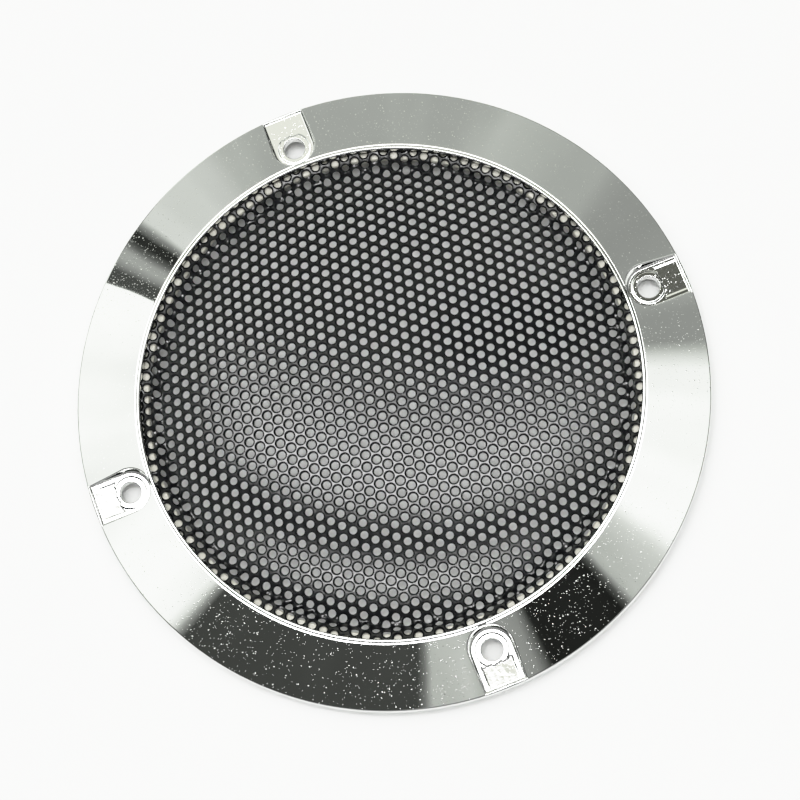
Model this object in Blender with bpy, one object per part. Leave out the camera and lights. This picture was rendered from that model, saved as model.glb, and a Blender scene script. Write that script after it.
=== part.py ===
"""A round speaker grille cover: a plated trim ring, a pressed mesh panel and the ring that holds it.

Metres. +Z points at the listener, and the origin is the middle of the plane that the cover sits on.
Screw pockets lie on +X, +Y, -X and -Y.
"""

from math import acos, cos, hypot, pi, radians, sin, tan

import bmesh
import bpy
from mathutils import Matrix, Vector

MM = 0.001

# Trim ring, outside
OUTER_R = 79.0 * MM
INNER_R = 62.1 * MM
EDGE_Z = 5.0 * MM
EDGE_ROUND = 0.5 * MM
LIP_Z = 8.7 * MM
LIP_ROUND = 0.55 * MM
WALL = 2.0 * MM

# Seat of the mesh panel, behind the lip
SEAT_R = 62.8 * MM
SEAT_Z = 7.1 * MM
COLLAR_WALL = 1.7 * MM
COLLAR_FOOT_Z = 2.4 * MM

# Screw pockets
POCKET_ANGLES = [0, 90, 180, 270]
SCREW_CIRCLE_R = 69.0 * MM
SCREW_HOLE_R = 2.75 * MM
POCKET_FLOOR_Z = 4.6 * MM
POCKET_FLOOR_HALF = 5.2 * MM
POCKET_TOP_HALF = 5.8 * MM
POCKET_OUTER_X = 78.3 * MM
POCKET_WALL = 1.5 * MM
SEAT_RIM_R = 4.1 * MM
SEAT_RIM_TOP_R = 3.9 * MM
SEAT_RIM_RISE = 0.35 * MM

# Stiffening ribs and snap nubs on the back
RIB_ANGLES = [22.5, 45.0, 67.5]
RIB_THICK = 1.2 * MM
RIB_FOOT_Z = 1.5 * MM
RIB_INNER_RISE = 0.6 * MM
NUB_COUNT = 8
NUB_HALF_ANGLE = 3.0
NUB_REACH = 0.7 * MM
NUB_HEIGHT = 0.9 * MM
NUB_CHAMFER = 0.2 * MM

# Mesh panel: heights are of its front face
SHEET = 0.7 * MM
CENTRE_Z = 8.7 * MM
FIELD_R = 58.0 * MM
FIELD_Z = 4.3 * MM
SHOULDER = 0.4
CREASE_R = 59.7 * MM
CREASE_Z = 6.1 * MM
BEND_R = 1.0 * MM

# Gap kept between pieces that touch
GAP = 0.3 * MM
FLANGE_Z = SEAT_Z - GAP

# Retaining ring
RETAINER_INNER_R = 60.5 * MM
RETAINER_FOOT_Z = 3.7 * MM

# Facets
RING_STEPS = 96
PANEL_STEPS = 72
BEND_STEPS = 2
DOME_STEPS = 7
DISC_STEPS = 32
POCKET_END_STEPS = 16


def clear_scene():
    for obj in list(bpy.data.objects):
        bpy.data.objects.remove(obj, do_unlink=True)


def material(name, color, metallic, roughness):
    mat = bpy.data.materials.new(name)
    mat.use_nodes = True
    shader = mat.node_tree.nodes["Principled BSDF"]
    shader.inputs["Base Color"].default_value = (*color, 1.0)
    shader.inputs["Metallic"].default_value = metallic
    shader.inputs["Roughness"].default_value = roughness
    return mat


def object_from(name, mesh_builder, mat=None):
    mesh = bpy.data.meshes.new(name)
    bmesh.ops.recalc_face_normals(mesh_builder, faces=mesh_builder.faces)
    mesh_builder.to_mesh(mesh)
    mesh_builder.free()
    obj = bpy.data.objects.new(name, mesh)
    bpy.context.scene.collection.objects.link(obj)
    if mat:
        mesh.materials.append(mat)
    return obj


def turned(name, profile, steps, mat=None):
    """Turns a closed outline of (radius, height) points about the Z axis."""
    builder = bmesh.new()
    ring = [builder.verts.new((r, 0.0, z)) for r, z in profile]
    edges = [builder.edges.new((a, b)) for a, b in zip(ring, ring[1:] + ring[:1])]
    bmesh.ops.spin(builder, geom=ring + edges, cent=(0, 0, 0), axis=(0, 0, 1),
                   angle=2 * pi, steps=steps, use_merge=True)
    bmesh.ops.remove_doubles(builder, verts=builder.verts, dist=1e-6)
    return object_from(name, builder, mat)


def prism(name, foot, top):
    """A closed body between two outlines with the same number of points."""
    builder = bmesh.new()
    low = [builder.verts.new(p) for p in foot]
    high = [builder.verts.new(p) for p in top]
    builder.faces.new(low[::-1])
    builder.faces.new(high)
    for i in range(len(low)):
        j = (i + 1) % len(low)
        builder.faces.new((low[i], low[j], high[j], high[i]))
    return object_from(name, builder)


def disc(name, centre_x, foot, top):
    """A round body at (centre_x, 0) from foot to top, each (radius, height)."""
    circle = [2 * pi * i / DISC_STEPS for i in range(DISC_STEPS)]
    low = [(centre_x + foot[0] * cos(a), foot[0] * sin(a), foot[1]) for a in circle]
    high = [(centre_x + top[0] * cos(a), top[0] * sin(a), top[1]) for a in circle]
    return prism(name, low, high)


def turn_about_z(obj, degrees):
    obj.data.transform(Matrix.Rotation(radians(degrees), 4, "Z"))
    return obj


def boolean(target, tool, operation):
    """Adds a Boolean modifier, and makes its tool a hidden wire guide."""
    tool.hide_render = True
    tool.display_type = "WIRE"
    modifier = target.modifiers.new(tool.name, "BOOLEAN")
    modifier.object = tool
    modifier.operation = operation
    modifier.solver = "EXACT"


def filleted(points, radii, steps=BEND_STEPS):
    """Replaces each inner corner of an open (radius, height) path with an arc of the given radius."""
    out = [Vector(points[0])]
    for before, corner, after, radius in zip(points, points[1:], points[2:], radii):
        corner = Vector(corner)
        arm_in = (Vector(before) - corner).normalized()
        arm_out = (Vector(after) - corner).normalized()
        half = acos(max(-1.0, min(1.0, arm_in.dot(arm_out)))) / 2
        centre = corner + (arm_in + arm_out).normalized() * (radius / sin(half))
        start = corner + arm_in * (radius / tan(half)) - centre
        end = corner + arm_out * (radius / tan(half)) - centre
        sweep = pi - 2 * half
        for i in range(steps + 1):
            t = i / steps
            arc = (start * sin((1 - t) * sweep) + end * sin(t * sweep)) / sin(sweep)
            out.append(centre + arc)
    out.append(Vector(points[-1]))
    return out


def offset_down(path, distance):
    """The same path moved by distance along its downward normal."""
    out = []
    for i, point in enumerate(path):
        before = path[max(i - 1, 0)]
        after = path[min(i + 1, len(path) - 1)]
        run = (after - before).normalized()
        out.append(point + Vector((run.y, -run.x)) * distance)
    return out


def face_z(radius):
    """Height of the ring's cone face at a radius."""
    start_r = OUTER_R - EDGE_ROUND
    end_r = INNER_R + LIP_ROUND
    return EDGE_Z + (LIP_Z - EDGE_Z) * (start_r - radius) / (start_r - end_r)


def ring_profile():
    """Outline of the trim ring's section, from the foot of the skirt up, over the face and back."""
    under = WALL * hypot(1, (LIP_Z - EDGE_Z) / (OUTER_R - INNER_R))
    lip_centre = (INNER_R + LIP_ROUND, LIP_Z - LIP_ROUND)
    points = [(OUTER_R, 0.0)]
    for i in range(4):
        a = pi / 2 * i / 3
        points.append((OUTER_R - EDGE_ROUND * (1 - cos(a)), EDGE_Z - EDGE_ROUND * (1 - sin(a))))
    for i in range(5):
        a = pi / 2 + pi / 2 * i / 4
        points.append((lip_centre[0] + LIP_ROUND * cos(a), lip_centre[1] + LIP_ROUND * sin(a)))
    points += [(INNER_R, SEAT_Z), (SEAT_R, SEAT_Z), (SEAT_R, COLLAR_FOOT_Z)]
    collar_r = SEAT_R + COLLAR_WALL
    points += [(collar_r, COLLAR_FOOT_Z), (collar_r, face_z(collar_r) - under)]
    skirt_r = OUTER_R - WALL
    points += [(skirt_r, face_z(skirt_r) - under), (skirt_r, 0.0)]
    return points


def pocket_outline(half, height):
    """A U open towards +X: two straight sides and a round end about the screw hole."""
    points = [(POCKET_OUTER_X, -half, height), (POCKET_OUTER_X, half, height)]
    for i in range(POCKET_END_STEPS + 1):
        a = pi / 2 + pi * i / POCKET_END_STEPS
        points.append((SCREW_CIRCLE_R + half * cos(a), half * sin(a), height))
    return points


def pocket_block():
    """The pocket's floor and side walls as a solid block whose top stays inside the cone's wall."""
    inner_x = SEAT_R + COLLAR_WALL / 2
    outer_x = OUTER_R - WALL / 2
    half = POCKET_TOP_HALF + POCKET_WALL
    foot_z = POCKET_FLOOR_Z - WALL
    outline = [(inner_x, -half), (outer_x, -half), (outer_x, half), (inner_x, half)]
    low = [(x, y, foot_z) for x, y in outline]
    high = [(x, y, face_z(hypot(x, y)) - WALL / 2) for x, y in outline]
    return prism("pocket_block", low, high)


def pocket_cutter():
    top_z = LIP_Z + 1.0 * MM
    slope = (POCKET_TOP_HALF - POCKET_FLOOR_HALF) / (LIP_Z - POCKET_FLOOR_Z)
    top_half = POCKET_FLOOR_HALF + slope * (top_z - POCKET_FLOOR_Z)
    low = pocket_outline(POCKET_FLOOR_HALF, POCKET_FLOOR_Z)
    high = pocket_outline(top_half, top_z)
    return prism("pocket_cutter", low, high)


def seat_rim():
    foot = (SEAT_RIM_R, POCKET_FLOOR_Z - WALL / 2)
    top = (SEAT_RIM_TOP_R, POCKET_FLOOR_Z + SEAT_RIM_RISE)
    return disc("seat_rim", SCREW_CIRCLE_R, foot, top)


def screw_hole():
    return disc("screw_hole", SCREW_CIRCLE_R, (SCREW_HOLE_R, -MM), (SCREW_HOLE_R, LIP_Z))


def rib():
    inner_x = SEAT_R + COLLAR_WALL / 2
    outer_x = OUTER_R - WALL / 2
    half = RIB_THICK / 2
    outline = [(inner_x, -half), (outer_x, -half), (outer_x, half), (inner_x, half)]
    foot_z = {inner_x: COLLAR_FOOT_Z + RIB_INNER_RISE, outer_x: RIB_FOOT_Z}
    low = [(x, y, foot_z[x]) for x, y in outline]
    high = [(x, y, face_z(x) - WALL / 2) for x, y in outline]
    return prism("rib", low, high)


def snap_nub():
    """A short arc on the inside of the collar, under the retaining ring."""
    top_z = RETAINER_FOOT_Z - GAP
    outer_r = SEAT_R + COLLAR_WALL / 2
    angles = [radians(NUB_HALF_ANGLE) * t for t in (-1, -0.5, 0, 0.5, 1)]
    rim = [(outer_r * cos(a), outer_r * sin(a)) for a in reversed(angles)]

    def outline(inner_r, height):
        arc = [(inner_r * cos(a), inner_r * sin(a)) for a in angles]
        return [(x, y, height) for x, y in arc + rim]

    foot = outline(SEAT_R, top_z - NUB_HEIGHT - NUB_CHAMFER)
    return prism("snap_nub", foot, outline(SEAT_R - NUB_REACH, top_z))


def build_trim_ring():
    plated = material("chrome_plated_abs", (0.90, 0.905, 0.895), 1.0, 0.04)
    ring = turned("trim_ring", ring_profile(), RING_STEPS, plated)
    for angle in POCKET_ANGLES:
        boolean(ring, turn_about_z(pocket_block(), angle), "UNION")
        for rib_angle in RIB_ANGLES:
            boolean(ring, turn_about_z(rib(), angle + rib_angle), "UNION")
    for i in range(NUB_COUNT):
        boolean(ring, turn_about_z(snap_nub(), 360 * (i + 0.5) / NUB_COUNT), "UNION")
    for angle in POCKET_ANGLES:
        boolean(ring, turn_about_z(pocket_cutter(), angle), "DIFFERENCE")
        boolean(ring, turn_about_z(seat_rim(), angle), "UNION")
        boolean(ring, turn_about_z(screw_hole(), angle), "DIFFERENCE")
    return ring


def panel_front():
    """Front face of the pressed panel: a shallow dome, a step up, and a flange under the lip.

    The dome falls off faster towards its shoulder than a parabola does.
    """
    path = []
    for i in range(DOME_STEPS + 1):
        part = (i / DOME_STEPS) ** 2
        drop = (CENTRE_Z - FIELD_Z) * ((1 - SHOULDER) * part + SHOULDER * part ** 2)
        path.append((FIELD_R * i / DOME_STEPS, CENTRE_Z - drop))
    step = [path[-2], path[-1], (CREASE_R, CREASE_Z), (INNER_R, FLANGE_Z), (SEAT_R - GAP, FLANGE_Z)]
    return [Vector(p) for p in path[:-2]] + filleted(step, [BEND_R, BEND_R, BEND_R])


def build_mesh_panel():
    painted = material("black_painted_steel", (0.01, 0.0105, 0.012), 0.0, 0.2)
    front = panel_front()
    back = offset_down(front, SHEET)
    return turned("mesh_panel", [tuple(p) for p in front + back[::-1]], PANEL_STEPS, painted)


def build_retaining_ring():
    moulded = material("natural_abs", (0.63, 0.615, 0.55), 0.0, 0.45)
    outer_r = SEAT_R - GAP
    slope = (FLANGE_Z - CREASE_Z) / (INNER_R - CREASE_R)
    sheet_drop = SHEET * hypot(1, slope) + GAP
    flat_z = FLANGE_Z - SHEET - GAP
    inner_z = CREASE_Z + slope * (RETAINER_INNER_R - CREASE_R) - sheet_drop
    profile = [
        (outer_r, RETAINER_FOOT_Z),
        (outer_r, flat_z),
        (INNER_R - SHEET * slope / 2, flat_z),
        (RETAINER_INNER_R, inner_z),
        (RETAINER_INNER_R, RETAINER_FOOT_Z),
    ]
    return turned("mesh_retaining_ring", profile, PANEL_STEPS, moulded)


clear_scene()
for part in (build_trim_ring(), build_mesh_panel(), build_retaining_ring()):
    part.data.shade_smooth()
    part.data.set_sharp_from_angle(angle=radians(35))
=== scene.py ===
"""A round speaker grille cover on a white table: plated trim ring, perforated mesh panel, retaining ring.

Shapes are worked out in millimetres and scaled to metres when each mesh is made.
"""

from math import acos, atan2, cos, hypot, pi, radians, sin, tan

import bpy
import numpy as np
from mathutils import Matrix, Vector, noise
from mathutils.geometry import delaunay_2d_cdt
from mathutils.kdtree import KDTree


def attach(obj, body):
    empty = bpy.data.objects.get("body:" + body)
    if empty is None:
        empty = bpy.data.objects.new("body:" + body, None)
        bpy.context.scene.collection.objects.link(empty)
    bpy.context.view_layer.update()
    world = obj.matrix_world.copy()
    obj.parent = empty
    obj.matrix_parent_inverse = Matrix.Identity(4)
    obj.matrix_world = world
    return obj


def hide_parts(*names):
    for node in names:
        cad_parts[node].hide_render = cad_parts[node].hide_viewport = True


MM = 0.001

# Trim ring
OUTER_R = 79.0
INNER_R = 62.1
LIP_Z = 8.7
LIP_ROUND = 0.4
LIP_LAND_R = 62.7
LAND_SOFT = 0.06
LIP_GROOVE_R = 63.06
LIP_GROOVE = 0.08
LIP_GROOVE_HALF = 0.2
EDGE_Z = 5.0
EDGE_ROUND = 0.5
WALL = 2.0
SEAT_R = 62.8
SEAT_Z = 7.1
COLLAR_WALL = 1.7
COLLAR_FOOT_Z = 2.4

# Screw pockets, in a frame where the pocket opens towards +X
POCKET_ANGLES = (0, 90, 180, 270)
POCKET_STRIP = 8.0
SCREW_X = 69.0
HOLE_R = 2.75
HOLE_ROUND = 0.2
FLOOR_Z = 4.75
FLOOR_HALF = 5.15
FLOOR_END_X = 78.1
WALL_RUN = 0.146
FLOOR_FILLET = 0.45
EDGE_BREAK = 0.4
BOSS_R = 4.05
BOSS_RISE = 0.2
BOSS_CUT_X = 3.45
STEP_HALF = 0.3
BLOCK_HALF = 7.3
BLOCK_FOOT_Z = 2.6

# The crinkled patch in the outer half of each pocket's floor, in the order of POCKET_ANGLES
PATCH_HALF = 3.9
PATCH_ENDS_X = (78.6, 78.6, 77.4, 77.6)
PATCH_DEPTHS = (0.04, 0.03, 0.22, 0.25)
PATCH_TILTS = (0.0, 0.0, 0.085, 0.095)
PATCH_CRINKLES = (0.006, 0.002, 0.014, 0.012)
PATCH_FINISH_RADII = (72.0, 78.0)

# Back of the ring
RIB_ANGLES = (22.5, 45.0, 67.5)
RIB_HALF = 0.6
RIB_FOOT_Z = (3.0, 1.5)
NUB_COUNT = 8
NUB_HALF_ANGLE = 3.0
NUB_REACH = 0.7
NUB_FOOT_REACH = 0.02
NUB_TOP_Z = 3.4
NUB_HEIGHT = 1.1
FOOT_CHAMFER = 0.35

# A radius and heights that are clear of the ring, for cutters
BORE_R = 61.0
BELOW = -1.0
ABOVE = 12.0

# How finely the ring's mesh is laid out
RIM_STEPS = 480
CUT_STEPS = 240
FACE_STEPS = 400
FACE_START_R = 64.0
FACE_END_R = 78.1
FACE_ROW_GAP = 0.95
HOLE_STEPS = 64
U_STEP = 0.33
U_ARC_STEPS = 48
U_END_STEPS = 33
PATCH_STEP = 0.25
PATCH_END_STEPS = 31
CHORD_HALF = 4.3
CHORD_STEP = 0.15
GRID_STEP = 0.24
GRID_START_X = 64.0
GRID_HALF = 4.8
GRID_MARGIN = 0.75

# Rows of the ring's mesh, as shares of the rounding, groove or step that they follow
LIP_ROWS = (0.0, 0.03, 0.125, 0.3, 0.6, 1.0)
GROOVE_ROWS = (-1.4, -1.0, -0.65, -0.3, 0.0, 0.3, 0.6, 0.95, 1.4, 2.1, 2.95)
EDGE_ROWS = (-0.3, 0.0, 0.26, 0.52, 0.74, 0.9, 0.97, 1.0)
FILLET_ROWS = (-1.0, -0.7, -0.42, -0.2, 0.0)
HOLE_ROWS = (0.0, 0.075, 0.25, 0.55, 1.0, 2.0, 3.5, 4.25)
STEP_ROWS = (-1.0, -0.5, 0.0, 0.5, 1.0)

# Rows over the rounded top of a pocket's wall, as distances past the wall
BREAK_ROWS = (0.0, 0.07, 0.14, 0.2)

# Two points of an outline further apart than this aren't joined
LINE_GAP = 1.1

# A point this near to an edge of the ring counts as on it
ON_EDGE = 0.006

# A face of the ring faces up when the Z part of its normal is more than this
FACES_UP = 0.02

# Mesh panel
SHEET = 0.7
CENTRE_Z = 8.7
FIELD_R = 58.0
FIELD_Z = 4.3
SHOULDER = 0.4
CREASE_R = 59.7
CREASE_Z = 6.1
FLANGE_Z = 6.8
PANEL_R = 62.5
BEND_R = 1.0
BEND_STEPS = 16
CURVE_STEP = 0.02
CURVE_BLUR = 13
DRAW_IN = 5.05e-6

# The sheet's holes, at PITCH along rows that are ROW_GAP apart, and the rounding that the punch leaves
PITCH = 2.985
ROW_GAP = 2.621
ROW_ANGLE = 135.82
ROW_SHIFT = (1.83, -4.79)
PERF_R = 1.0
PERF_SIDES = 16
ROLLOVER = 0.42
ROLLOVER_DEPTH = 0.3

# Corners of the six-sided cell round a hole, in half pitches along the row and thirds of a row gap across it
CELL_CORNERS = ((1, 1), (0, 2), (-1, 1), (-1, -1), (0, -2), (1, -1))

# The blank that the round sheet is cut with
BLANK_HALF_Z = 2.0
BLANK_BORE_R = 0.001
BLANK_STEPS = 288

# Retaining ring
RETAINER_INNER_R = 60.5
RETAINER_OUTER_R = 62.5
RETAINER_FOOT_Z = 3.7
RETAINER_ROUND = 0.25
RETAINER_GAP = 0.3


# ---------------------------------------------------------------- meshes

def mesh_object(name, verts, faces, materials):
    mesh = bpy.data.meshes.new(name)
    mesh.from_pydata([tuple(v) for v in np.asarray(verts) * MM], [], faces)
    mesh.validate()
    mesh.update()
    for mat in materials:
        mesh.materials.append(mat)
    obj = bpy.data.objects.new(name, mesh)
    bpy.context.scene.collection.objects.link(obj)
    return obj


def turned_mesh(name, profile, steps):
    """A closed outline of (radius, height) points, anticlockwise, turned about Z."""
    count = len(profile)
    verts = []
    for i in range(steps):
        a = 2 * pi * i / steps
        verts += [(r * cos(a), r * sin(a), z) for r, z in profile]
    faces = []
    for i in range(steps):
        j = (i + 1) % steps
        for k in range(count):
            m = (k + 1) % count
            faces.append((i * count + k, j * count + k, j * count + m, i * count + m))
    return mesh_object(name, verts, faces, [])


def box_mesh(name, low, high, foot_z, top_z, degrees):
    """A box turned about Z. Its foot may slope from one height at the low end to another at the high end."""
    (x0, y0), (x1, y1) = low, high
    near_z, far_z = foot_z
    corners = [(x0, y0), (x1, y0), (x1, y1), (x0, y1)]
    verts = [(x, y, near_z if x == x0 else far_z) for x, y in corners]
    verts += [(x, y, top_z) for x, y in corners]
    faces = [(3, 2, 1, 0), (4, 5, 6, 7)] + [(i, (i + 1) % 4, (i + 1) % 4 + 4, i + 4) for i in range(4)]
    obj = mesh_object(name, verts, faces, [])
    obj.data.transform(Matrix.Rotation(radians(degrees), 4, "Z"))
    return obj


def boolean(target, tool, operation):
    """Applies a Boolean at once and removes its tool."""
    modifier = target.modifiers.new("cut", "BOOLEAN")
    modifier.object = tool
    modifier.operation = operation
    modifier.solver = "MANIFOLD"
    depsgraph = bpy.context.evaluated_depsgraph_get()
    result = bpy.data.meshes.new_from_object(target.evaluated_get(depsgraph))
    target.modifiers.clear()
    target.data = result
    bpy.data.objects.remove(tool, do_unlink=True)


def triangulated(mesh):
    """The mesh's vertices in millimetres, and its triangles, as arrays."""
    mesh.calc_loop_triangles()
    verts = np.empty(len(mesh.vertices) * 3, np.float32)
    mesh.vertices.foreach_get("co", verts)
    tris = np.empty(len(mesh.loop_triangles) * 3, np.int32)
    mesh.loop_triangles.foreach_get("vertices", tris)
    return verts.reshape(-1, 3).astype(float) / MM, tris.reshape(-1, 3)


def circle_points(r, steps, centre=(0.0, 0.0)):
    a = np.arange(steps) * 2 * pi / steps
    return np.c_[centre[0] + r * np.cos(a), centre[1] + r * np.sin(a)]


def row_turn(degrees):
    """The matrix that turns (x, y) rows anticlockwise when they are multiplied by it."""
    a = radians(degrees)
    return np.array([[cos(a), sin(a)], [-sin(a), cos(a)]])


def smooth(low, high, value):
    t = np.clip((value - low) / (high - low), 0.0, 1.0)
    return t * t * (3 - 2 * t)


def quarter_round(share):
    """How far a quarter circle of radius 1 has dropped, from nothing at 0 to 1 at 1."""
    return 1 - np.sqrt(1 - np.clip(share, 0.0, 1.0) ** 2)


# ---------------------------------------------------------------- trim ring: heights

def ring_z(r):
    """Height of the ring's face at radius r, without the pockets."""
    edge_start = OUTER_R - EDGE_ROUND
    lip_end = INNER_R + LIP_ROUND
    slope = (LIP_Z - EDGE_Z) / (edge_start - LIP_LAND_R)
    cone = LIP_Z - slope * (r - LIP_LAND_R)
    edge = cone - EDGE_ROUND * quarter_round((r - edge_start) / EDGE_ROUND)
    lip = LIP_Z - LIP_ROUND * quarter_round((lip_end - r) / LIP_ROUND)
    face = LIP_Z - LAND_SOFT * slope * np.logaddexp(0.0, (r - LIP_LAND_R) / LAND_SOFT)
    face = face - LIP_GROOVE * np.exp(-((r - LIP_GROOVE_R) / LIP_GROOVE_HALF) ** 2)
    return np.where(r < lip_end, lip, np.where(r > edge_start, edge, face))


def face_z(x, y):
    """Height of the ring's face at one place, without the pockets."""
    return float(ring_z(np.array([hypot(x, y)]))[0])


def in_pocket_frame(x, y, degrees):
    """A place on the ring, in the frame of the pocket at that angle."""
    a = radians(degrees)
    return x * cos(a) + y * sin(a), -x * sin(a) + y * cos(a)


def u_distance(x, y, half):
    """Signed distance outside a U of that half width that ends at FLOOR_END_X."""
    round_end = np.hypot(x - SCREW_X, y) - half
    side = np.abs(y) - half
    return np.maximum(np.where(x > SCREW_X, side, round_end), x - FLOOR_END_X)


def crinkle(x, y):
    """Unevenness of the crinkled plating, in folds that run along the pocket with finer ones over them."""
    out = np.zeros(len(x))
    for i, (px, py) in enumerate(zip(x, y)):
        out[i] = noise.noise(Vector((px * 0.35, py * 0.75, 3.7)))
        out[i] += 0.3 * noise.noise(Vector((px * 1.1, py * 1.1, 9.1)))
    return out


def chord_x(y, seed):
    """Where the boss round a screw hole is cut off, as an uneven line across the pocket."""
    wobble = 0.16 * np.sin(2.3 * y + seed) + 0.10 * np.sin(5.1 * y + 2 * seed) + 0.05 * np.sin(9.7 * y)
    return SCREW_X + BOSS_CUT_X - 0.03 * y ** 2 + wobble


def floor_z(x, y, seed):
    """Height of a pocket's floor: a boss round the screw hole and a crinkled patch outside it."""
    end_x = PATCH_ENDS_X[seed]
    rho = np.hypot(x - SCREW_X, y)
    beyond = smooth(-STEP_HALF, STEP_HALF, x - chord_x(y, seed))
    boss = BOSS_RISE * smooth(BOSS_R + STEP_HALF, BOSS_R - STEP_HALF, rho) * (1 - beyond)
    within = smooth(PATCH_HALF + STEP_HALF, PATCH_HALF - STEP_HALF, np.abs(y))
    within = within * smooth(end_x + STEP_HALF, end_x - STEP_HALF, x)
    patch = beyond * within
    z = FLOOR_Z + boss
    near = patch > 0
    if near.any():
        middle_x = (SCREW_X + BOSS_CUT_X + end_x) / 2
        fall = PATCH_DEPTHS[seed] - PATCH_TILTS[seed] * (x[near] - middle_x)
        rough = PATCH_CRINKLES[seed] * crinkle(x[near] + 31 * seed, y[near])
        z[near] += patch[near] * (rough - fall)
    return z - HOLE_ROUND * quarter_round((HOLE_R + HOLE_ROUND - rho) / HOLE_ROUND)


def wall_bends():
    """The lean of a pocket's wall, and how far the roundings at its foot and its top reach."""
    lean = atan2(1.0, WALL_RUN)
    return lean, FLOOR_FILLET * tan(lean / 2), EDGE_BREAK * tan(lean / 2)


def pocket_z(x, y, cone, seed):
    """Height inside and just round a pocket, in the pocket's own frame."""
    lean, fillet_reach, break_reach = wall_bends()
    s = u_distance(x, y, FLOOR_HALF)
    wall = FLOOR_Z + s / WALL_RUN
    arc = FLOOR_FILLET - np.sqrt(np.maximum(FLOOR_FILLET ** 2 - (s + fillet_reach) ** 2, 0.0))
    floor = floor_z(x, y, seed)
    inside = np.where(s < -fillet_reach, floor, np.where(s < fillet_reach * cos(lean), floor + arc, wall))
    past = (wall - cone) * WALL_RUN
    bend = EDGE_BREAK ** 2 - np.clip(break_reach - past, 0.0, EDGE_BREAK) ** 2
    rounded = cone - EDGE_BREAK + np.sqrt(np.maximum(bend, 0.0))
    return np.minimum(np.where(past < -break_reach * cos(lean), inside, rounded), cone)


def top_z(x, y):
    """Height of the whole upper surface of the ring."""
    z = ring_z(np.hypot(x, y))
    for seed, degrees in enumerate(POCKET_ANGLES):
        u, v = in_pocket_frame(x, y, degrees)
        near = (u > 0) & (np.abs(v) < POCKET_STRIP)
        if near.any():
            z[near] = pocket_z(u[near], v[near], z[near], seed)
    return z


def top_normals(plan):
    """Normals of the upper surface. At the rims of the ring and of the screw holes they lie level."""
    step = 0.003
    x, y = plan.T
    dx = (top_z(x + step, y) - top_z(x - step, y)) / (2 * step)
    dy = (top_z(x, y + step) - top_z(x, y - step)) / (2 * step)
    normals = np.c_[-dx, -dy, np.ones(len(plan))]
    r = np.hypot(x, y)
    for edge_r, sign in ((INNER_R, -1.0), (OUTER_R, 1.0)):
        on = np.abs(r - edge_r) < ON_EDGE
        normals[on] = sign * np.c_[x[on] / r[on], y[on] / r[on], 0.0 * x[on]]
    for degrees in POCKET_ANGLES:
        cx = SCREW_X * cos(radians(degrees))
        cy = SCREW_X * sin(radians(degrees))
        rho = np.hypot(x - cx, y - cy)
        on = np.abs(rho - HOLE_R) < ON_EDGE
        normals[on] = np.c_[cx - x[on], cy - y[on], 0.0 * x[on]]
    return normals / np.linalg.norm(normals, axis=1)[:, None]


# ---------------------------------------------------------------- trim ring: plan

def u_loop(half_at, end_x):
    """A closed U whose half width may change with the place along it."""
    points = []
    corner_half = half_at(end_x, 0.0)
    for x in np.arange(end_x, SCREW_X, -U_STEP):
        points.append((x, half_at(x, 0.0)))
    for i in range(U_ARC_STEPS + 1):
        a = pi / 2 + pi * i / U_ARC_STEPS
        half = half_at(SCREW_X, a - pi / 2)
        points.append((SCREW_X + half * cos(a), half * sin(a)))
    for x in np.arange(end_x, SCREW_X, -U_STEP)[::-1]:
        points.append((x, -half_at(x, 0.0)))
    for y in np.linspace(-corner_half, corner_half, U_END_STEPS + 1)[1:-1]:
        points.append((end_x, y))
    return np.array(points)


def wall_loops():
    """Outlines along the foot and the top of a pocket's wall."""
    lean, fillet_reach, break_reach = wall_bends()
    loops = []
    foot_rows = [fillet_reach * t for t in FILLET_ROWS]
    for offset in (-fillet_reach - 0.25, *foot_rows, fillet_reach * cos(lean)):
        loops.append(u_loop(lambda x, a, o=offset: FLOOR_HALF + o, FLOOR_END_X + offset))

    def top_half(x, a, past):
        """Half width at which a line past the wall by that much comes out through the cone face."""
        half = FLOOR_HALF + 0.3
        for _ in range(6):
            if x > SCREW_X + 1e-6:
                z = face_z(x, half)
            else:
                z = face_z(SCREW_X - half * sin(a), half * cos(a))
            half = FLOOR_HALF + past + WALL_RUN * (z - FLOOR_Z)
        return half

    end_rise = WALL_RUN * (face_z(FLOOR_END_X, 0.0) - FLOOR_Z)
    for past in (-break_reach * cos(lean), *BREAK_ROWS, break_reach, 0.5):
        loops.append(u_loop(lambda x, a, p=past: top_half(x, a, p), FLOOR_END_X + end_rise + past))
    return loops


def floor_loops(seed):
    """Outlines round the screw hole, its boss and the crinkled patch, and along the boss's cut side."""
    fillet_reach = wall_bends()[1]
    radii = [HOLE_R + HOLE_ROUND * t for t in HOLE_ROWS] + [BOSS_R + STEP_HALF * t for t in STEP_ROWS]
    loops = [circle_points(r, HOLE_STEPS, (SCREW_X, 0.0)) for r in radii]
    for t in STEP_ROWS:
        half = PATCH_HALF + STEP_HALF * t
        end_x = min(PATCH_ENDS_X[seed] + STEP_HALF * t, FLOOR_END_X - fillet_reach)
        sides = np.arange(SCREW_X + BOSS_CUT_X + STEP_HALF, end_x, PATCH_STEP)
        across = np.linspace(-half, half, PATCH_END_STEPS + 1)
        loops.append(np.r_[np.c_[sides, 0 * sides + half], np.c_[0 * across + end_x, -across],
                           np.c_[sides[::-1], 0 * sides - half]])
    y = np.arange(-CHORD_HALF, CHORD_HALF + 0.01, CHORD_STEP)
    return loops + [np.c_[chord_x(y, seed) + STEP_HALF * t, y] for t in STEP_ROWS]


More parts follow.
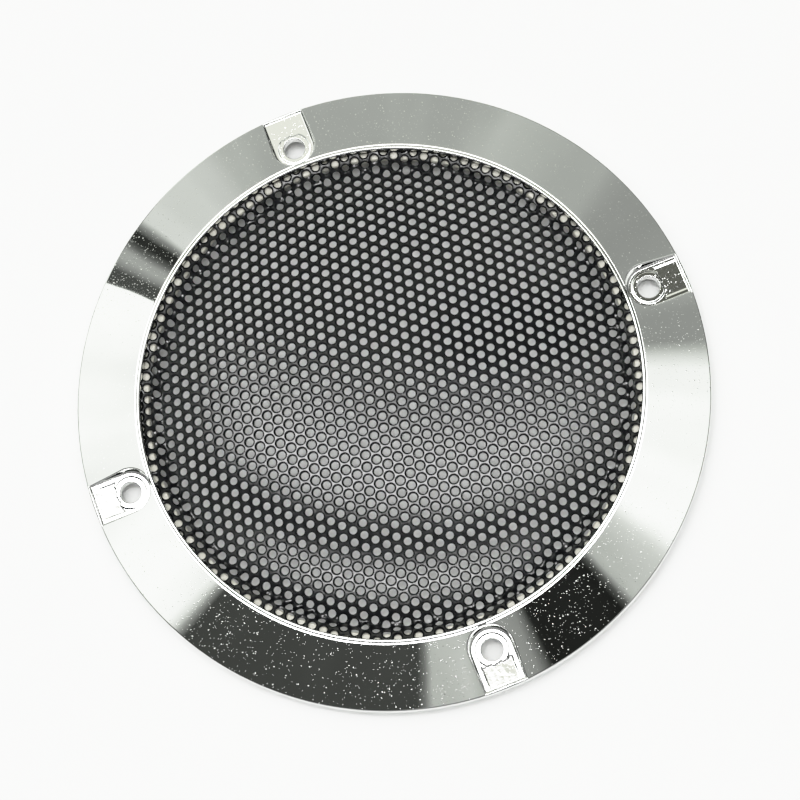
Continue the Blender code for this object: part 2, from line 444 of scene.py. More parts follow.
def floor_grid():
    """Points that fill a pocket's floor between its outlines, every other row set half a step along."""
    grid_x, grid_y = np.meshgrid(np.arange(GRID_START_X, FLOOR_END_X, GRID_STEP),
                                 np.arange(-GRID_HALF, GRID_HALF + 0.01, GRID_STEP))
    grid_x = grid_x + GRID_STEP / 2 * (np.arange(grid_x.shape[0]) % 2)[:, None]
    grid = np.c_[grid_x.ravel(), grid_y.ravel()]
    rho = np.hypot(grid[:, 0] - SCREW_X, grid[:, 1])
    in_floor = u_distance(grid[:, 0], grid[:, 1], FLOOR_HALF) < -GRID_MARGIN
    return grid[in_floor & (rho > BOSS_R + STEP_HALF + 0.1)]


def face_points():
    """Points that fill the cone face, row by row, clear of the pockets."""
    rows = []
    for row, r in enumerate(np.arange(FACE_START_R, FACE_END_R, FACE_ROW_GAP)):
        points = circle_points(r, FACE_STEPS) @ row_turn(180 / FACE_STEPS * (row % 2))
        clear = np.ones(len(points), bool)
        for degrees in POCKET_ANGLES:
            u, v = in_pocket_frame(points[:, 0], points[:, 1], degrees)
            clear &= (u < 0) | (u_distance(u, v, FLOOR_HALF + 1.15) > 0.35)
        rows.append(points[clear])
    return np.concatenate(rows)


def ring_radii():
    """Radii of the closed rows along the ring's two rims."""
    lip_end = INNER_R + LIP_ROUND
    radii = [INNER_R + LIP_ROUND * t for t in LIP_ROWS] + [(lip_end + LIP_LAND_R) / 2, LIP_LAND_R]
    radii += [LIP_GROOVE_R + LIP_GROOVE_HALF * t for t in GROOVE_ROWS]
    return radii + [OUTER_R - EDGE_ROUND * (1 - t) for t in EDGE_ROWS]


def ring_plan():
    """Plan-view vertices and triangles of the ring's upper surface."""
    points = []
    edges = []

    def place(new_points):
        points.extend(Vector(p) for p in new_points)

    def follow(line):
        """Adds points that the mesh joins up in turn, except across a gap."""
        start = len(points)
        place(line)
        count = len(line)
        for i in range(count):
            j = (i + 1) % count
            if hypot(*(line[j] - line[i])) < LINE_GAP:
                edges.append((start + i, start + j))

    for r in ring_radii():
        follow(circle_points(r, RIM_STEPS))
    for seed, degrees in enumerate(POCKET_ANGLES):
        for loop in wall_loops() + floor_loops(seed):
            keep = np.hypot(*loop.T) < OUTER_R - 0.02
            follow(loop[keep] @ row_turn(degrees))
        place(floor_grid() @ row_turn(degrees))
    place(face_points())
    out = delaunay_2d_cdt(points, edges, [], 0, 1e-5)
    plan = np.array([tuple(p) for p in out[0]])
    tris = np.array(out[2])
    centre = plan[tris].mean(axis=1)
    far = np.hypot(*centre.T)
    keep = (far > INNER_R) & (far < OUTER_R)
    for degrees in POCKET_ANGLES:
        u, v = in_pocket_frame(*centre.T, degrees)
        keep &= np.hypot(u - SCREW_X, v) > HOLE_R * 0.998
    tris = tris[keep]
    used = np.unique(tris)
    renumber = np.full(len(plan), -1)
    renumber[used] = np.arange(len(used))
    return plan[used], renumber[tris]


# ---------------------------------------------------------------- trim ring: body

def upright_body(plan, tris, z):
    """A closed body between the plan's triangles at their heights and the same triangles at height 0."""
    count = len(plan)
    verts = np.r_[np.c_[plan, z], np.c_[plan, np.zeros(count)]]
    corners = plan[tris]
    turned = np.cross(corners[:, 1] - corners[:, 0], corners[:, 2] - corners[:, 0]) < 0
    tris = np.where(turned[:, None], tris[:, ::-1], tris)
    directed = {}
    for t in tris:
        for i in range(3):
            directed[(t[i], t[(i + 1) % 3])] = True
    faces = [tuple(int(v) for v in t) for t in tris]
    faces += [tuple(int(v) + count for v in t[::-1]) for t in tris]
    for p, q in directed:
        if (q, p) not in directed:
            faces.append((int(q), int(p), int(p) + count, int(q) + count))
    return mesh_object("trim_ring_plated", verts, faces, [])


def hollow_back():
    """What is open behind the face: the mesh seat, the space under the collar and the hollow round it."""
    slope = (LIP_Z - EDGE_Z) / (OUTER_R - INNER_R)
    under = WALL * hypot(1, slope)
    collar_r = SEAT_R + COLLAR_WALL
    skirt_r = OUTER_R - WALL
    profile = [(BORE_R, BELOW), (skirt_r, BELOW), (skirt_r, face_z(skirt_r, 0.0) - under),
               (collar_r, face_z(collar_r, 0.0) - under), (collar_r, COLLAR_FOOT_Z), (SEAT_R, COLLAR_FOOT_Z),
               (SEAT_R, SEAT_Z), (BORE_R, SEAT_Z)]
    hollow = turned_mesh("hollow", profile, CUT_STEPS)
    inner_x = SEAT_R + COLLAR_WALL / 2
    block_foot_z = (BLOCK_FOOT_Z, BLOCK_FOOT_Z)
    for degrees in POCKET_ANGLES:
        high = (OUTER_R + 1, BLOCK_HALF)
        block = box_mesh("block", (inner_x, -BLOCK_HALF), high, block_foot_z, ABOVE, degrees)
        boolean(hollow, block, "DIFFERENCE")
        for angle in RIB_ANGLES:
            high = (OUTER_R, RIB_HALF)
            rib = box_mesh("rib", (inner_x, -RIB_HALF), high, RIB_FOOT_Z, ABOVE, degrees + angle)
            boolean(hollow, rib, "DIFFERENCE")
    return hollow


def foot_cutter():
    """What the chamfer takes off the foot of the skirt."""
    inside = OUTER_R - FOOT_CHAMFER
    profile = [(inside - 0.1, -0.1), (OUTER_R + 0.5, -0.1), (OUTER_R + 0.5, FOOT_CHAMFER + 0.5)]
    return turned_mesh("foot", profile, RIM_STEPS)


def snap_nub(degrees):
    """A small catch inside the collar, level on top and sloping below."""
    root_r = SEAT_R + COLLAR_WALL / 2
    foot_z = NUB_TOP_Z - NUB_HEIGHT
    section = ((root_r, foot_z), (root_r, NUB_TOP_Z), (SEAT_R - NUB_REACH, NUB_TOP_Z),
               (SEAT_R - NUB_FOOT_REACH, foot_z))
    verts = []
    for share in (-1, -0.5, 0, 0.5, 1):
        a = radians(degrees + NUB_HALF_ANGLE * share)
        verts += [(r * cos(a), r * sin(a), z) for r, z in section]
    faces = [(0, 1, 2, 3), (19, 18, 17, 16)]
    for i in range(4):
        for k in range(4):
            m = (k + 1) % 4
            faces.append((i * 4 + k, (i + 1) * 4 + k, (i + 1) * 4 + m, i * 4 + m))
    return mesh_object("nub", verts, faces, [])


def place_key(x, y, z):
    return round(x, 3), round(y, 3), round(z, 3)


def in_patch(x, y):
    """Whether a point is on the crinkled patch of one of the pockets."""
    for seed, degrees in enumerate(POCKET_ANGLES):
        u, v = in_pocket_frame(x, y, degrees)
        if chord_x(v, seed) < u < PATCH_ENDS_X[seed] and abs(v) < PATCH_HALF:
            return True
    return False


def finish_ring(mesh, plan, z, materials):
    """Gives the ring its exact normals, and each face its material: bright, dull at the back, or crinkled."""
    mesh.materials.clear()
    for mat in materials:
        mesh.materials.append(mat)
    mesh.shade_smooth()
    mesh.set_sharp_from_angle(angle=radians(30))
    known = {}
    for p, h, n in zip(plan, z, top_normals(plan)):
        known[place_key(p[0], p[1], h)] = n
    matched = [known.get(place_key(*(c / MM for c in v.co))) for v in mesh.vertices]
    normals = np.empty(len(mesh.loops) * 3, np.float32)
    mesh.corner_normals.foreach_get("vector", normals)
    normals = normals.reshape(-1, 3)
    for poly in mesh.polygons:
        loops = list(poly.loop_indices)
        own = [matched[mesh.loops[i].vertex_index] for i in loops]
        faces_up = poly.normal.z > FACES_UP
        if faces_up and all(n is not None for n in own):
            for i, n in zip(loops, own):
                normals[i] = n
        x, y, height = (c / MM for c in poly.center)
        r = hypot(x, y)
        outside = r > OUTER_R - 0.1 or (faces_up and height > FLOOR_Z * 0.9)
        lip_wall = r < INNER_R + 0.3 and height > SEAT_Z
        poly.material_index = 0 if outside or lip_wall else 1
        if outside and PATCH_FINISH_RADII[0] < r < PATCH_FINISH_RADII[1] and in_patch(x, y):
            poly.material_index = 2
    mesh.normals_split_custom_set(normals.tolist())


def build_trim_ring(materials):
    plan, tris = ring_plan()
    z = top_z(*plan.T)
    ring = upright_body(plan, tris, z)
    boolean(ring, hollow_back(), "DIFFERENCE")
    boolean(ring, foot_cutter(), "DIFFERENCE")
    for i in range(NUB_COUNT):
        boolean(ring, snap_nub(360 * (i + 0.5) / NUB_COUNT), "UNION")
    finish_ring(ring.data, plan, z, materials)
    return ring


# ---------------------------------------------------------------- mesh panel: pressing

def dome_z(r):
    """Height of the dome's front, which falls off faster towards its shoulder than a parabola does."""
    t = (r / FIELD_R) ** 2
    return CENTRE_Z - (CENTRE_Z - FIELD_Z) * ((1 - SHOULDER) * t + SHOULDER * t ** 2)


def panel_curve():
    """The panel's front section as dense (radius, height) points from the middle to its edge."""
    points = [(r, dome_z(r)) for r in np.arange(0.0, FIELD_R - 0.8, 0.25)]
    corners = [(FIELD_R - 1.0, dome_z(FIELD_R - 1.0)), (FIELD_R, FIELD_Z), (CREASE_R, CREASE_Z),
               (INNER_R, FLANGE_Z), (PANEL_R + 0.3, FLANGE_Z)]
    for before, corner, after in zip(corners, corners[1:], corners[2:]):
        corner = Vector(corner)
        arm_in = (Vector(before) - corner).normalized()
        arm_out = (Vector(after) - corner).normalized()
        half = acos(max(-1.0, min(1.0, arm_in.dot(arm_out)))) / 2
        centre = corner + (arm_in + arm_out).normalized() * (BEND_R / sin(half))
        start = corner + arm_in * (BEND_R / tan(half)) - centre
        end = corner + arm_out * (BEND_R / tan(half)) - centre
        sweep = pi - 2 * half
        for i in range(BEND_STEPS + 1):
            t = i / BEND_STEPS
            points.append(tuple(centre + (start * sin((1 - t) * sweep) + end * sin(t * sweep)) / sin(sweep)))
    points.append(corners[-1])
    points = np.array(points)
    return points[np.r_[True, np.diff(points[:, 0]) > 1e-4]]


def press(flat_r):
    """Where the press puts a point of the flat sheet: its radius, height and slope angle."""
    curve = panel_curve()
    fine_r = np.arange(0.0, curve[-1, 0], CURVE_STEP)
    fine_z = np.interp(fine_r, *curve.T)
    slope = np.pad(np.gradient(fine_z, fine_r), CURVE_BLUR // 2, mode="edge")
    slope = np.convolve(slope, np.ones(CURVE_BLUR) / CURVE_BLUR, mode="valid")
    flat_of = np.empty(len(fine_r))
    field = fine_r <= FIELD_R
    flat_of[field] = fine_r[field] * (1 + DRAW_IN * fine_r[field] ** 2)
    along = np.hypot(np.diff(fine_r), np.diff(fine_z))
    first = field.sum()
    flat_of[first:] = flat_of[first - 1] + np.cumsum(along[first - 1:])
    radius = np.interp(flat_r, flat_of, fine_r)
    return radius, np.interp(radius, fine_r, fine_z), np.arctan(np.interp(radius, fine_r, slope))


def flat_edge():
    """Radius of the flat sheet that ends up at PANEL_R."""
    tries = np.arange(FIELD_R, FIELD_R + 12, 0.01)
    return float(np.interp(PANEL_R, press(tries)[0], tries))


def pressed(flat, tris, flat_normals):
    """The flat sheet's points and corner normals after pressing."""
    r = np.maximum(np.hypot(flat[:, 0], flat[:, 1]), 1e-9)
    radial = np.c_[flat[:, 0] / r, flat[:, 1] / r]
    radius, height, slope = press(r)
    depth = -flat[:, 2]
    placed_r = radius + depth * np.sin(slope)
    placed = np.c_[radial * placed_r[:, None], height - depth * np.cos(slope)]
    outward = radial[tris]
    tangent = np.stack([-outward[..., 1], outward[..., 0]], axis=-1)
    n_r = (flat_normals[..., :2] * outward).sum(axis=-1)
    n_t = (flat_normals[..., :2] * tangent).sum(axis=-1)
    n_z = flat_normals[..., 2]
    c, s = np.cos(slope)[tris], np.sin(slope)[tris]
    level = outward * (n_r * c - n_z * s)[..., None] + tangent * n_t[..., None]
    return placed, np.concatenate([level, (n_r * s + n_z * c)[..., None]], axis=-1)


# ---------------------------------------------------------------- mesh panel: flat sheet

def hole_centres(edge_r):
    """Centres of the flat sheet's holes, out to just past its edge."""
    span = int(edge_r / PITCH * 1.3) + 3
    i, j = np.meshgrid(np.arange(-span, span + 1), np.arange(-span, span + 1))
    in_rows = np.c_[(i + 0.5 * j).ravel() * PITCH, j.ravel() * ROW_GAP]
    centres = in_rows @ row_turn(ROW_ANGLE) + ROW_SHIFT
    return centres[np.hypot(*centres.T) < edge_r + 2.0]


def zipper(outer, inner):
    """Triangles between two rings of points, each given as the angles of its points once round."""
    tris = []
    i = j = 0
    n, m = len(outer), len(inner)
    while i < n or j < m:
        next_outer = outer[i % n] + 2 * pi * (i // n) + (outer[(i + 1) % n] - outer[i % n]) % (2 * pi)
        next_inner = inner[j % m] + 2 * pi * (j // m) + (inner[(j + 1) % m] - inner[j % m]) % (2 * pi)
        if j >= m or (i < n and next_outer <= next_inner):
            tris.append(("outer", i % n, (i + 1) % n, j % m))
            i += 1
        else:
            tris.append(("inner", j % m, (j + 1) % m, i % n))
            j += 1
    return tris


def sheet_key(x, y, z):
    return round(x * 50), round(y * 50), z


def flat_sheet(centres):
    """The perforated sheet before pressing, made of a six-sided cell with a round hole at each centre."""
    turn = radians(ROW_ANGLE)
    cell_angles = [turn + pi / 6 + pi / 3 * i for i in range(6)]
    perf_angles = [turn + pi / 6 + 2 * pi * i / PERF_SIDES for i in range(PERF_SIDES)]
    cell = np.array([(PITCH / 2 * x, ROW_GAP / 3 * y) for x, y in CELL_CORNERS]) @ row_turn(ROW_ANGLE)
    unit = np.array([(cos(a), sin(a)) for a in perf_angles])
    keys = {}
    verts = []

    def shared(x, y, z):
        """The number of a cell's corner, which its neighbours use too."""
        key = sheet_key(x, y, z)
        if key not in keys:
            keys[key] = len(verts)
            verts.append((x, y, z))
        return keys[key]

    pattern = zipper(cell_angles, perf_angles)
    faces = []
    n = PERF_SIDES
    for cx, cy in centres:
        top = [shared(cx + x, cy + y, 0.0) for x, y in cell]
        bottom = [shared(cx + x, cy + y, -SHEET) for x, y in cell]
        base = len(verts)
        for r, z in ((PERF_R + ROLLOVER, 0.0), (PERF_R, -ROLLOVER_DEPTH), (PERF_R, -SHEET)):
            verts += [(cx + r * x, cy + r * y, z) for x, y in unit]
        for kind, p, q, s in pattern:
            if kind == "outer":
                faces.append((top[p], top[q], base + s))
                faces.append((bottom[q], bottom[p], base + 2 * n + s))
            else:
                faces.append((base + q, base + p, top[s]))
                faces.append((base + 2 * n + p, base + 2 * n + q, bottom[s]))
        for p in range(n):
            q = (p + 1) % n
            for level in (0, n):
                faces.append((base + level + p, base + level + q, base + level + n + q, base + level + n + p))
    return verts, faces


def close_border(verts, faces):
    """Joins the open edges of the sheet's top to its back."""
    directed = set()
    for f in faces:
        for i in range(len(f)):
            directed.add((f[i], f[(i + 1) % len(f)]))
    at = {sheet_key(*v): i for i, v in enumerate(verts)}
    for p, q in list(directed):
        if (q, p) not in directed and verts[p][2] == 0.0 and verts[q][2] == 0.0:
            low_p = at[sheet_key(verts[p][0], verts[p][1], -SHEET)]
            low_q = at[sheet_key(verts[q][0], verts[q][1], -SHEET)]
            faces.append((q, p, low_p, low_q))


def sheet_normals(flat, tris, centres, edge_r):
    """Normals of the flat sheet's triangle corners, which turn from upright to level round each hole."""
    tree = KDTree(len(centres))
    for i, (x, y) in enumerate(centres):
        tree.insert((x, y, 0.0), i)
    tree.balance()
    own_hole = np.array([tuple(tree.find((x, y, 0.0))[0])[:2] for x, y, _ in flat])
    corners = flat[tris]
    face_normal = np.cross(corners[:, 1] - corners[:, 0], corners[:, 2] - corners[:, 0])
    face_normal /= np.maximum(np.linalg.norm(face_normal, axis=1), 1e-12)[:, None]
    sideways = np.abs(face_normal[:, 2]) < 0.95
    at_border = np.hypot(corners[..., 0], corners[..., 1]).min(axis=1) > edge_r - 0.02
    in_hole = sideways & ~at_border
    inward = np.zeros((len(tris), 3, 3))
    inward[..., :2] = own_hole[tris] - corners[..., :2]
    inward /= np.maximum(np.linalg.norm(inward, axis=2), 1e-9)[..., None]
    at_top = corners[..., 2] > -0.01
    rounded = np.where(at_top[..., None], np.array([0.0, 0.0, 1.0]), inward)
    level = np.repeat(face_normal[:, None, :], 3, axis=1)
    return np.where(in_hole[:, None, None], rounded, level)


def build_mesh_panel(paint):
    edge_r = flat_edge()
    centres = hole_centres(edge_r)
    verts, faces = flat_sheet(centres)
    close_border(verts, faces)
    sheet = mesh_object("flat_sheet", verts, faces, [])
    blank = turned_mesh("blank", [(BLANK_BORE_R, -BLANK_HALF_Z), (edge_r, -BLANK_HALF_Z),
                                  (edge_r, BLANK_HALF_Z), (BLANK_BORE_R, BLANK_HALF_Z)], BLANK_STEPS)
    boolean(sheet, blank, "INTERSECT")
    flat, tris = triangulated(sheet.data)
    bpy.data.objects.remove(sheet, do_unlink=True)
    placed, normals = pressed(flat, tris, sheet_normals(flat, tris, centres, edge_r))
    panel = mesh_object("mesh_panel_perforated", placed, tris.tolist(), [paint])
    if len(panel.data.loops) == len(tris) * 3:
        panel.data.shade_smooth()
        panel.data.normals_split_custom_set(normals.reshape(-1, 3).tolist())
    return panel


# ---------------------------------------------------------------- retaining ring

def build_retaining_ring(plastic):
    slope = (FLANGE_Z - CREASE_Z) / (INNER_R - CREASE_R)
    drop = SHEET * hypot(1, slope) + RETAINER_GAP
    flat_z = FLANGE_Z - SHEET - RETAINER_GAP
    inner_z = CREASE_Z + slope * (RETAINER_INNER_R - CREASE_R) - drop
    rim = RETAINER_ROUND
    profile = [(RETAINER_INNER_R + rim, RETAINER_FOOT_Z), (RETAINER_OUTER_R - rim, RETAINER_FOOT_Z),
               (RETAINER_OUTER_R, RETAINER_FOOT_Z + rim), (RETAINER_OUTER_R, flat_z - rim),
               (RETAINER_OUTER_R - rim, flat_z), (INNER_R - SHEET * slope / 2, flat_z),
               (RETAINER_INNER_R + rim, inner_z + slope * rim), (RETAINER_INNER_R, inner_z - rim),
               (RETAINER_INNER_R, RETAINER_FOOT_Z + rim)]
    retainer = turned_mesh("mesh_retaining_ring_moulded", profile, CUT_STEPS)
    retainer.data.materials.append(plastic)
    retainer.data.shade_smooth()
    retainer.data.set_sharp_from_angle(angle=radians(25))
    return retainer


# ---------------------------------------------------------------- nodes

def add(tree, kind, inputs=None, **settings):
    """Adds a node. An input may be a value or another node's socket."""
    node = tree.nodes.new(kind)
    for key, value in settings.items():
        setattr(node, key, value)
    for key, value in (inputs or {}).items():
        if isinstance(value, bpy.types.NodeSocket):
            tree.links.new(value, node.inputs[key])
        else:
            node.inputs[key].default_value = value
    return node


def calc(tree, operation, a, b=0.0):
    return add(tree, "ShaderNodeMath", {0: a, 1: b}, operation=operation).outputs[0]


def smoothstep(tree, value, low, high, to_low=0.0, to_high=1.0):
    inputs = {"Value": value, "From Min": low, "From Max": high, "To Min": to_low, "To Max": to_high}
    return add(tree, "ShaderNodeMapRange", inputs, interpolation_type="SMOOTHSTEP").outputs["Result"]


def cloud(tree, where, scale, detail, distortion=0.0):
    inputs = {"Vector": where, "Scale": scale, "Detail": detail, "Distortion": distortion}
    return add(tree, "ShaderNodeTexNoise", inputs).outputs["Fac"]


def colour_mix(tree, share, low, high):
    return add(tree, "ShaderNodeMix", {0: share, 6: low, 7: high}, data_type="RGBA").outputs[2]


def bumped(tree, height, strength, distance, normal=None):
    """A normal shaped by a height, over another normal if there is one."""
    inputs = {"Height": height, "Strength": strength, "Distance": distance}
    if normal is not None:
        inputs["Normal"] = normal
    return add(tree, "ShaderNodeBump", inputs).outputs["Normal"]


# ---------------------------------------------------------------- materials

def new_material(name):
    """A material, its node tree, its shader and the object's own coordinates."""
    mat = bpy.data.materials.new(name)
    mat.use_nodes = True
    tree = mat.node_tree
    where = add(tree, "ShaderNodeTexCoord").outputs["Object"]
    return mat, tree, tree.nodes["Principled BSDF"], where


def plated(name, roughness, crinkled=False):
    """Bright plating over moulded plastic: faint waves, and small pimples where dust was plated in."""
    mat, tree, shader, where = new_material(name)
    shader.inputs["Metallic"].default_value = 1.0
    tone = colour_mix(tree, cloud(tree, where, 90.0, 3.0), (0.87, 0.88, 0.865, 1), (0.93, 0.935, 0.925, 1))
    tree.links.new(tone, shader.inputs["Base Color"])
    haze = smoothstep(tree, cloud(tree, where, 160.0, 4.0), 0.3, 0.75, roughness, roughness * 1.5)
    tree.links.new(haze, shader.inputs["Roughness"])
    normal = bumped(tree, cloud(tree, where, 60.0, 1.0), 0.04, 0.0006)
    for scale, share, height in ((1000.0, 0.50, 0.000026), (1900.0, 0.80, 0.000014)):
        cells = add(tree, "ShaderNodeTexVoronoi", {"Vector": where, "Scale": scale, "Randomness": 1.0})
        pick = add(tree, "ShaderNodeSeparateColor", {0: cells.outputs["Color"]})
        chosen = smoothstep(tree, pick.outputs[0], 1 - share, 1 - share / 2)
        dot = smoothstep(tree, cells.outputs["Distance"], 0.02, 0.20, 1.0, 0.0)
        normal = bumped(tree, calc(tree, "MULTIPLY", dot, chosen), 0.8, height, normal)
    if crinkled:
        for scale, height in ((1300.0, 0.000014), (3200.0, 0.000003)):
            normal = bumped(tree, cloud(tree, where, scale, 2.0, 0.6), 0.7, height, normal)
    tree.links.new(normal, shader.inputs["Normal"])
    return mat


def black_paint():
    """Gloss black stoved paint on steel, with a faint unevenness."""
    mat, tree, shader, where = new_material("gloss_black_paint")
    tone = colour_mix(tree, cloud(tree, where, 130.0, 4.0),
                      (0.008, 0.0085, 0.010, 1), (0.014, 0.0145, 0.016, 1))
    tree.links.new(tone, shader.inputs["Base Color"])
    shader.inputs["IOR"].default_value = 1.6
    haze = smoothstep(tree, cloud(tree, where, 420.0, 3.0), 0.3, 0.7, 0.08, 0.12)
    tree.links.new(haze, shader.inputs["Roughness"])
    tree.links.new(bumped(tree, cloud(tree, where, 900.0, 1.0), 0.12, 0.00008), shader.inputs["Normal"])
    return mat


def natural_plastic():
    """Unpainted moulded plastic with a fine grain."""
    mat, tree, shader, where = new_material("natural_abs")
    tone = colour_mix(tree, cloud(tree, where, 70.0, 3.0), (0.60, 0.585, 0.52, 1), (0.66, 0.645, 0.58, 1))
    tree.links.new(tone, shader.inputs["Base Color"])
    shader.inputs["Roughness"].default_value = 0.45
    tree.links.new(bumped(tree, cloud(tree, where, 2200.0, 2.0), 0.15, 0.00004), shader.inputs["Normal"])
    return mat


def table_top():
    """White laminate with a very fine grain."""
    mat, tree, shader, where = new_material("white_laminate")
    tone = colour_mix(tree, cloud(tree, where, 9.0, 3.0), (0.90, 0.905, 0.90, 1), (0.92, 0.925, 0.92, 1))
    tree.links.new(tone, shader.inputs["Base Color"])
    shader.inputs["Roughness"].default_value = 0.55
    shader.inputs["Specular IOR Level"].default_value = 0.3
    tree.links.new(bumped(tree, cloud(tree, where, 900.0, 2.0), 0.12, 0.0002), shader.inputs["Normal"])
    return mat


# ---------------------------------------------------------------- studio

# The camera's place in millimetres, two of its directions, and its lens and sensor in millimetres
CAMERA_PLACE = (3.47, -124.43, 464.35)
CAMERA_FORWARD = (-0.00309, 0.25729, -0.96633)
CAMERA_RIGHT = (0.92943, -0.35583, -0.09772)
CAMERA_LENS = 86.5
CAMERA_SENSOR = 36.0
CAMERA_SHIFT_Y = -0.0069

# Scene brightness that the picture shows as pure white, and how brightness below it is shown
FILM_WHITE = 1.6
FILM_CURVE = ((0.02, 0.009), (0.06, 0.046), (0.12, 0.115), (0.35, 0.36), (0.50, 0.54), (0.72, 0.75),
              (0.95, 0.89), (1.28, 0.975))

# Sizes of the studio, in metres
TABLE_HALF = 2.5
FILL_HEIGHT = 1.5
FILL_SIZE = 3.0

FILL_WATTS = 17.0
BACKDROP = (0.90, 0.91, 0.90, 1)

# Where the middle of what the cover reflects lies on the sky, as the Y part of its direction. Places on the
# sky are given as the X and Y parts of theirs, counted from there, and rho is the distance from there.
SKY_TILT = 0.257

# Screens round the studio, anticlockwise from FIRST_EDGE: (name, its end in degrees, brightness, and how
# many degrees its end takes to fade)
FIRST_EDGE = 137.0
SCREENS = (
    ("window on the left", 208, 1.20, 3.0),
    ("dark front", 257, 0.09, 2.0),
    ("pale card", 267, 0.60, 4.0),
    ("grey door", 279, 0.30, 3.0),
    ("dark corner", 298, 0.03, 2.0),
    ("grey curtain", 310, 0.58, 4.0),
    ("window on the right", 345, 1.20, 5.0),
    ("grey wall, near end", 400, 0.38, 20.0),
    ("grey wall", 467, 0.49, 9.0),
    ("pale pillar", 484, 0.78, 2.0),
    ("dark gap", 489, 0.05, 2.0),
    ("grey post", 493, 0.40, 2.0),
    ("dark gap beside the window", 497, 0.08, 2.0),
)
SCREEN_TINT = (0.965, 1.0, 0.945)

# The ends above are where they are at this rho. They swing round by EDGE_SWING radians for each unit of rho
# further out.
EDGE_RHO = 0.55
EDGE_SWING = 0.6

# The ceiling fades into the screens between these values of rho
CEILING_EDGE = (0.42, 0.46)
CEILING_TINT = (1.0, 1.02, 0.90)

# Two long lamps on the ceiling: (place of the middle, degrees, half length, where across it the near edge
# fades in and where the far edge fades out)
MAIN_LAMP = ((-0.02, -0.13), -25.6, 0.32, (-0.10, -0.03), (0.01, 0.17))
FRONT_LAMP = ((-0.13, -0.355), -24.0, 0.24, (-0.06, -0.02), (0.0, 0.08))
LAMP_GLOW = 11.0
LAMP_BOW = 0.5
LAMP_END_FADE = 0.11


def screen_colour(tree, turn):
    """The colour of the screen at an angle round the studio."""
    part = calc(tree, "DIVIDE", calc(tree, "SUBTRACT", turn, radians(FIRST_EDGE)), 2 * pi)
    ramp = add(tree, "ShaderNodeValToRGB", {"Fac": calc(tree, "FRACT", part)})
    ramp.color_ramp.interpolation = "LINEAR"
    stops = ramp.color_ramp.elements
    stops.remove(stops[-1])
    start = FIRST_EDGE
    fade = SCREENS[-1][3]
    for i, (_, end, level, next_fade) in enumerate(SCREENS):
        for side, edge in enumerate((start + fade / 2, end - next_fade / 2)):
            place = (edge - FIRST_EDGE) / 360
            stop = stops[0] if i == side == 0 else stops.new(place)
            stop.position = place
            stop.color = (*(level * c for c in SCREEN_TINT), 1)
        start = end
        fade = next_fade
    return ramp.outputs["Color"]


def screens(tree, where, u, v, rho):
    """The screens, with soft folds in them, down to a dark skirting and a pale horizon."""
    swing = calc(tree, "MULTIPLY", calc(tree, "SUBTRACT", rho, EDGE_RHO), EDGE_SWING)
    colour = screen_colour(tree, calc(tree, "ADD", calc(tree, "ARCTAN2", v, u), swing))
    folds = smoothstep(tree, cloud(tree, where, 5.0, 2.0), 0.35, 0.65, 0.82, 1.10)
    skirting = smoothstep(tree, rho, 0.72, 0.82, 1.0, 0.05)
    wall = add(tree, "ShaderNodeVectorMath", {0: colour}, operation="SCALE")
    tree.links.new(calc(tree, "MULTIPLY", folds, skirting), wall.inputs["Scale"])
    horizon = smoothstep(tree, rho, 0.88, 1.10, 0.0, 0.40)
    return add(tree, "ShaderNodeVectorMath", {0: wall.outputs[0], 1: horizon}, operation="ADD").outputs[0]


def ceiling(tree, u, v, rho):
    """A pale ceiling behind the cover, darker in front and to the right, with a paler border in front."""
    level = smoothstep(tree, v, -0.06, 0.09, 0.30, 0.85)
    right = smoothstep(tree, u, 0.03, 0.12, 1.0, 0.25)
    behind = smoothstep(tree, v, 0.03, 0.10)
    level = calc(tree, "MULTIPLY", level, calc(tree, "MAXIMUM", right, behind))
    border = smoothstep(tree, rho, 0.34, 0.37)
    border = calc(tree, "MULTIPLY", border, smoothstep(tree, v, -0.20, 0.0, 0.5, 0.1))
    level = calc(tree, "ADD", level, border)
    parts = {i: calc(tree, "MULTIPLY", level, share) for i, share in enumerate(CEILING_TINT)}
    return add(tree, "ShaderNodeCombineColor", parts).outputs[0]


def lamp_mask(tree, u, v, lamp):
    """1 inside a lamp, which is an oblong bowed along its length, and 0 outside it."""
    middle, degrees, half_length, near_edge, far_edge = lamp
    a = radians(degrees)
    du = calc(tree, "SUBTRACT", u, middle[0])
    dv = calc(tree, "SUBTRACT", v, middle[1])
    along = calc(tree, "ADD", calc(tree, "MULTIPLY", du, cos(a)), calc(tree, "MULTIPLY", dv, sin(a)))
    across = calc(tree, "SUBTRACT", calc(tree, "MULTIPLY", dv, cos(a)), calc(tree, "MULTIPLY", du, sin(a)))
    bow = calc(tree, "MULTIPLY", calc(tree, "MULTIPLY", along, along), LAMP_BOW)
    across = calc(tree, "SUBTRACT", across, bow)
    end = calc(tree, "ABSOLUTE", along)
    mask = smoothstep(tree, end, half_length - LAMP_END_FADE, half_length + LAMP_END_FADE, 1.0, 0.0)
    mask = calc(tree, "MULTIPLY", mask, smoothstep(tree, across, *near_edge))
    return calc(tree, "MULTIPLY", mask, smoothstep(tree, across, *far_edge, 1.0, 0.0))


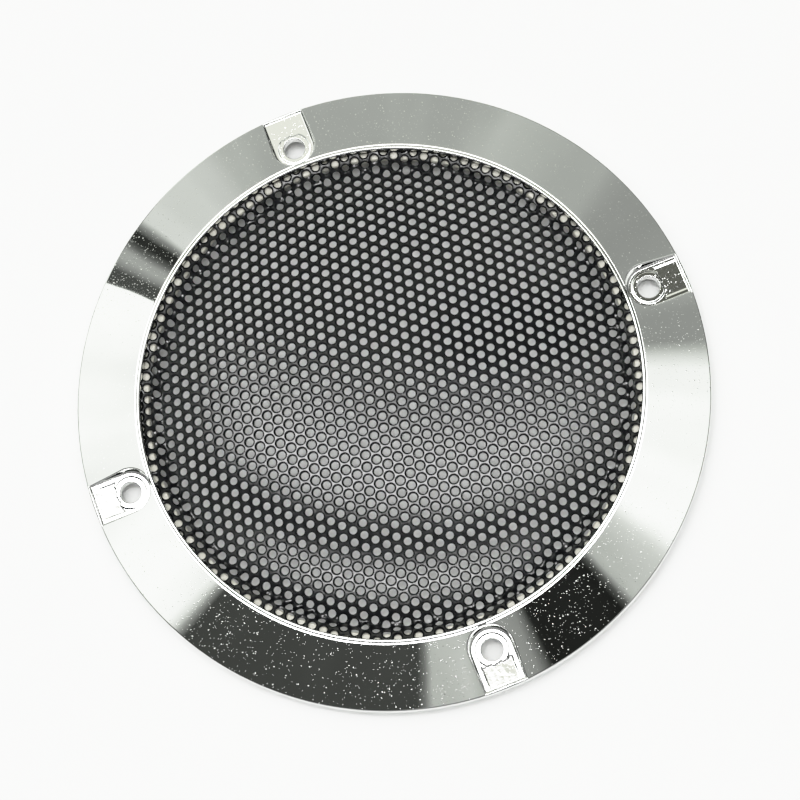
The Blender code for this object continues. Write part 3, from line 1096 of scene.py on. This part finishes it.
def build_studio():
    world = bpy.data.worlds.new("studio")
    bpy.context.scene.world = world
    world.use_nodes = True
    tree = world.node_tree
    where = add(tree, "ShaderNodeTexCoord").outputs["Generated"]
    split = add(tree, "ShaderNodeSeparateXYZ", {0: where})
    u = split.outputs["X"]
    v = calc(tree, "SUBTRACT", split.outputs["Y"], SKY_TILT)
    rho = calc(tree, "SQRT", calc(tree, "ADD", calc(tree, "MULTIPLY", u, u), calc(tree, "MULTIPLY", v, v)))
    outer = smoothstep(tree, rho, *CEILING_EDGE)
    sky = colour_mix(tree, outer, ceiling(tree, u, v, rho), screens(tree, where, u, v, rho))
    lamps = calc(tree, "ADD", lamp_mask(tree, u, v, MAIN_LAMP), lamp_mask(tree, u, v, FRONT_LAMP))
    glow = calc(tree, "MULTIPLY", lamps, LAMP_GLOW)
    sky = add(tree, "ShaderNodeMix", {0: 1.0, 6: sky, 7: glow}, data_type="RGBA", blend_type="ADD").outputs[2]

    # The camera itself sees a plain pale backdrop
    seen = add(tree, "ShaderNodeLightPath").outputs["Is Camera Ray"]
    tree.links.new(colour_mix(tree, seen, sky, BACKDROP), tree.nodes["Background"].inputs["Color"])


def build_fill():
    """A broad even light from above for the matt surfaces, which the plating does not mirror."""
    data = bpy.data.lights.new("fill", "AREA")
    data.shape = "DISK"
    data.size = FILL_SIZE
    data.energy = FILL_WATTS
    fill = bpy.data.objects.new("fill", data)
    fill.location = (0, 0, FILL_HEIGHT)
    fill.visible_camera = False
    fill.visible_glossy = False
    bpy.context.scene.collection.objects.link(fill)


def build_floor():
    half = TABLE_HALF / MM
    corners = [(-half, -half, 0), (half, -half, 0), (half, half, 0), (-half, half, 0)]
    mesh_object("table", corners, [(0, 1, 2, 3)], [table_top()])


def build_camera():
    forward = Vector(CAMERA_FORWARD).normalized()
    right = Vector(CAMERA_RIGHT)
    right = (right - forward * right.dot(forward)).normalized()
    up = right.cross(forward)
    data = bpy.data.cameras.new("camera")
    data.sensor_width = CAMERA_SENSOR
    data.lens = CAMERA_LENS
    data.shift_y = CAMERA_SHIFT_Y
    data.clip_start = 0.01
    camera = bpy.data.objects.new("camera", data)
    rows = [(right[i], up[i], -forward[i], CAMERA_PLACE[i] * MM) for i in range(3)]
    camera.matrix_world = Matrix((*rows, (0, 0, 0, 1)))
    bpy.context.scene.collection.objects.link(camera)
    bpy.context.scene.camera = camera


def set_film():
    """A plain view with a little contrast and a soft shoulder, so that the white table does not burn out."""
    view = bpy.context.scene.view_settings
    view.view_transform = "Standard"
    view.use_curve_mapping = True
    mapping = view.curve_mapping
    mapping.white_level = (FILM_WHITE, FILM_WHITE, FILM_WHITE)
    for value, shown in FILM_CURVE:
        mapping.curves[3].points.new(value / FILM_WHITE, shown)
    mapping.update()


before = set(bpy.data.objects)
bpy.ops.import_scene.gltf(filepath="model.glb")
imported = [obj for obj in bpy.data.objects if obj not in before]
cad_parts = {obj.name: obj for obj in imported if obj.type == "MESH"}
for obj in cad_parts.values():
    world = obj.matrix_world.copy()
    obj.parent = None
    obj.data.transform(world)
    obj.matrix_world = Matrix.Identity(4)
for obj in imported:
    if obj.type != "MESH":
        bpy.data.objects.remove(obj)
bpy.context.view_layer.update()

build_camera()
build_studio()
build_fill()
build_floor()
set_film()

ring = build_trim_ring([plated("chrome_plate", 0.02), plated("chrome_plate_back", 0.18),
                        plated("chrome_plate_crinkled", 0.03, crinkled=True)])
panel = build_mesh_panel(black_paint())
retainer = build_retaining_ring(natural_plastic())
for piece, node, slot in ((ring, "trim_ring", "chrome_plating"), (panel, "mesh_panel", "black_paint"),
                          (retainer, "mesh_retaining_ring", "natural_abs")):
    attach(piece, "root")
    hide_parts(node)
